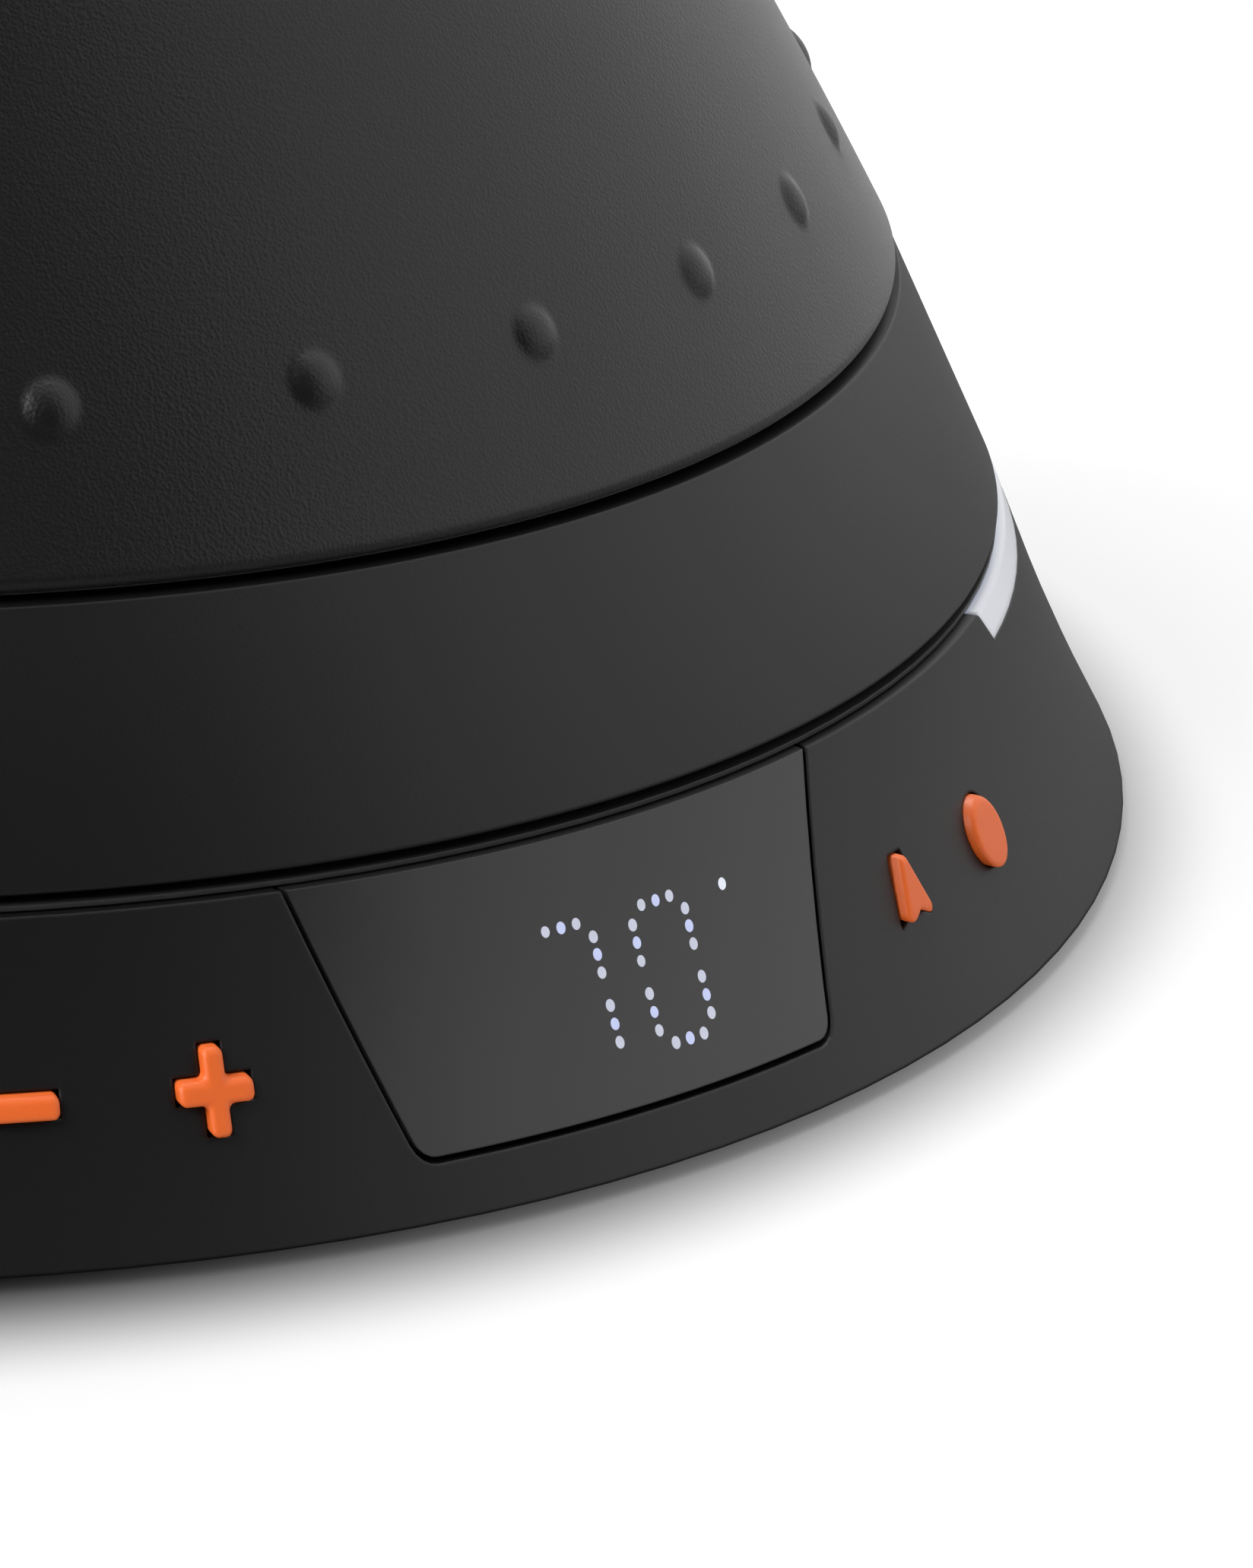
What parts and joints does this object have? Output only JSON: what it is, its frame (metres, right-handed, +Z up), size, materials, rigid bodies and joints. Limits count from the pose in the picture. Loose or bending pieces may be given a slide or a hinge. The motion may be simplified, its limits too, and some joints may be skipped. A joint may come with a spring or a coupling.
{
  "type": "gooseneck kettle",
  "caption": "Electric gooseneck kettle: studded conical body with slim curved spout, arched handle and lift-off lid, on a swivel power base with dot display, push buttons and light strip.",
  "frame": {"origin": "middle of the foot ring, on the surface the base stands on, which is also where the base's and the kettle's common axis meets that surface", "axes": "+Z up; the display faces -Y, the spout points to -X and the handle to +X"},
  "size_m": [0.2536, 0.18, 0.1293],
  "materials": {
    "body_paint": "fine pebbled matte black",
    "trim_paint": "smooth matte black",
    "case_plastic": "fine matte black",
    "inner_plastic": "moulded black",
    "window": "satin smoked grey",
    "light": "lit dots",
    "board": "green circuit board",
    "button_orange": "moulded orange",
    "switch_grey": "moulded grey",
    "flex_amber": "amber film",
    "guide_white": "satin translucent white",
    "relay_blue": "moulded blue",
    "supply_yellow": "yellow tape",
    "contact_brass": "bare",
    "ring_grey": "moulded dark grey",
    "steel": "brushed",
    "aluminium": "cast",
    "element": "annealed",
    "ceramic": "unglazed",
    "rubber": "matte",
    "silicone": "translucent grey silicone",
    "silicone_red": "red silicone",
    "grip_plastic": "soft matte black"
  },
  "bodies": {
    "base": {"base_shell": "case_plastic", "base_deck": "case_plastic", "base_cover": "inner_plastic", "foot_ring": "rubber", "base_screws": "steel", "cable_gland": "rubber", "display_window": "window", "display_baffle": "inner_plastic", "display_leds": "light", "display_board": "board", "button_switches": "switch_grey", "button_flex": "flex_amber", "switch_carrier": "inner_plastic", "light_guide": "guide_white", "light_strip_leds": "light", "main_board": "board", "relay": "relay_blue", "power_supply": "supply_yellow", "buzzer": "inner_plastic", "base_connector": "inner_plastic", "base_contacts": "contact_brass"},
    "minus_button": {"minus_button": "button_orange"},
    "plus_button": {"plus_button": "button_orange"},
    "arrow_button": {"arrow_button": "button_orange"},
    "round_button": {"round_button": "button_orange"},
    "swivel_ring": {"swivel_ring": "ring_grey"},
    "kettle": {"kettle_body": "body_paint", "inner_vessel": "steel", "skirt_band": "trim_paint", "body_seal": "rubber", "bottom_cover": "inner_plastic", "cover_screws": "steel", "heater_plate": "aluminium", "heating_element": "element", "thermal_cutouts": "ceramic", "temperature_probe": "steel", "probe_seal": "silicone_red", "kettle_connector": "inner_plastic", "kettle_contacts": "contact_brass", "neck_ring": "trim_paint", "spout_root": "trim_paint", "spout_tube": "trim_paint", "spout_collar": "trim_paint", "spout_lip": "trim_paint", "handle_bracket": "trim_paint", "handle_screws": "steel", "handle_grip": "grip_plastic", "grip_cap": "grip_plastic"},
    "lid": {"lid_shell": "trim_paint", "lid_plug": "steel", "lid_gasket": "silicone", "lid_knob": "grip_plastic", "knob_screw": "steel"}
  },
  "joints": [
    {"name": "minus_press", "type": "slide", "parent": "base", "child": "minus_button", "axis": [0.4242, 0.9056, 0], "range_m": [0, 0.0004], "stiffness_N_per_m": 1500, "springref_m": -0.0005},
    {"name": "plus_press", "type": "slide", "parent": "base", "child": "plus_button", "axis": [0.3049, 0.9524, 0], "range_m": [0, 0.0004], "stiffness_N_per_m": 1500, "springref_m": -0.0005},
    {"name": "arrow_press", "type": "slide", "parent": "base", "child": "arrow_button", "axis": [-0.3049, 0.9524, 0], "range_m": [0, 0.0004], "stiffness_N_per_m": 1500, "springref_m": -0.0005},
    {"name": "round_press", "type": "slide", "parent": "base", "child": "round_button", "axis": [-0.4242, 0.9056, 0], "range_m": [0, 0.0004], "stiffness_N_per_m": 1500, "springref_m": -0.0005},
    {"name": "swivel", "type": "hinge", "parent": "base", "child": "swivel_ring", "pos_m": [0, 0, 0.0165], "axis": [0, 0, 1], "continuous": true},
    {"name": "kettle_lift", "type": "slide", "parent": "swivel_ring", "child": "kettle", "axis": [0, 0, 1], "range_m": [0, 0.15]},
    {"name": "lid_lift", "type": "slide", "parent": "kettle", "child": "lid", "axis": [0, 0, 1], "range_m": [0, 0.06]}
  ]
}
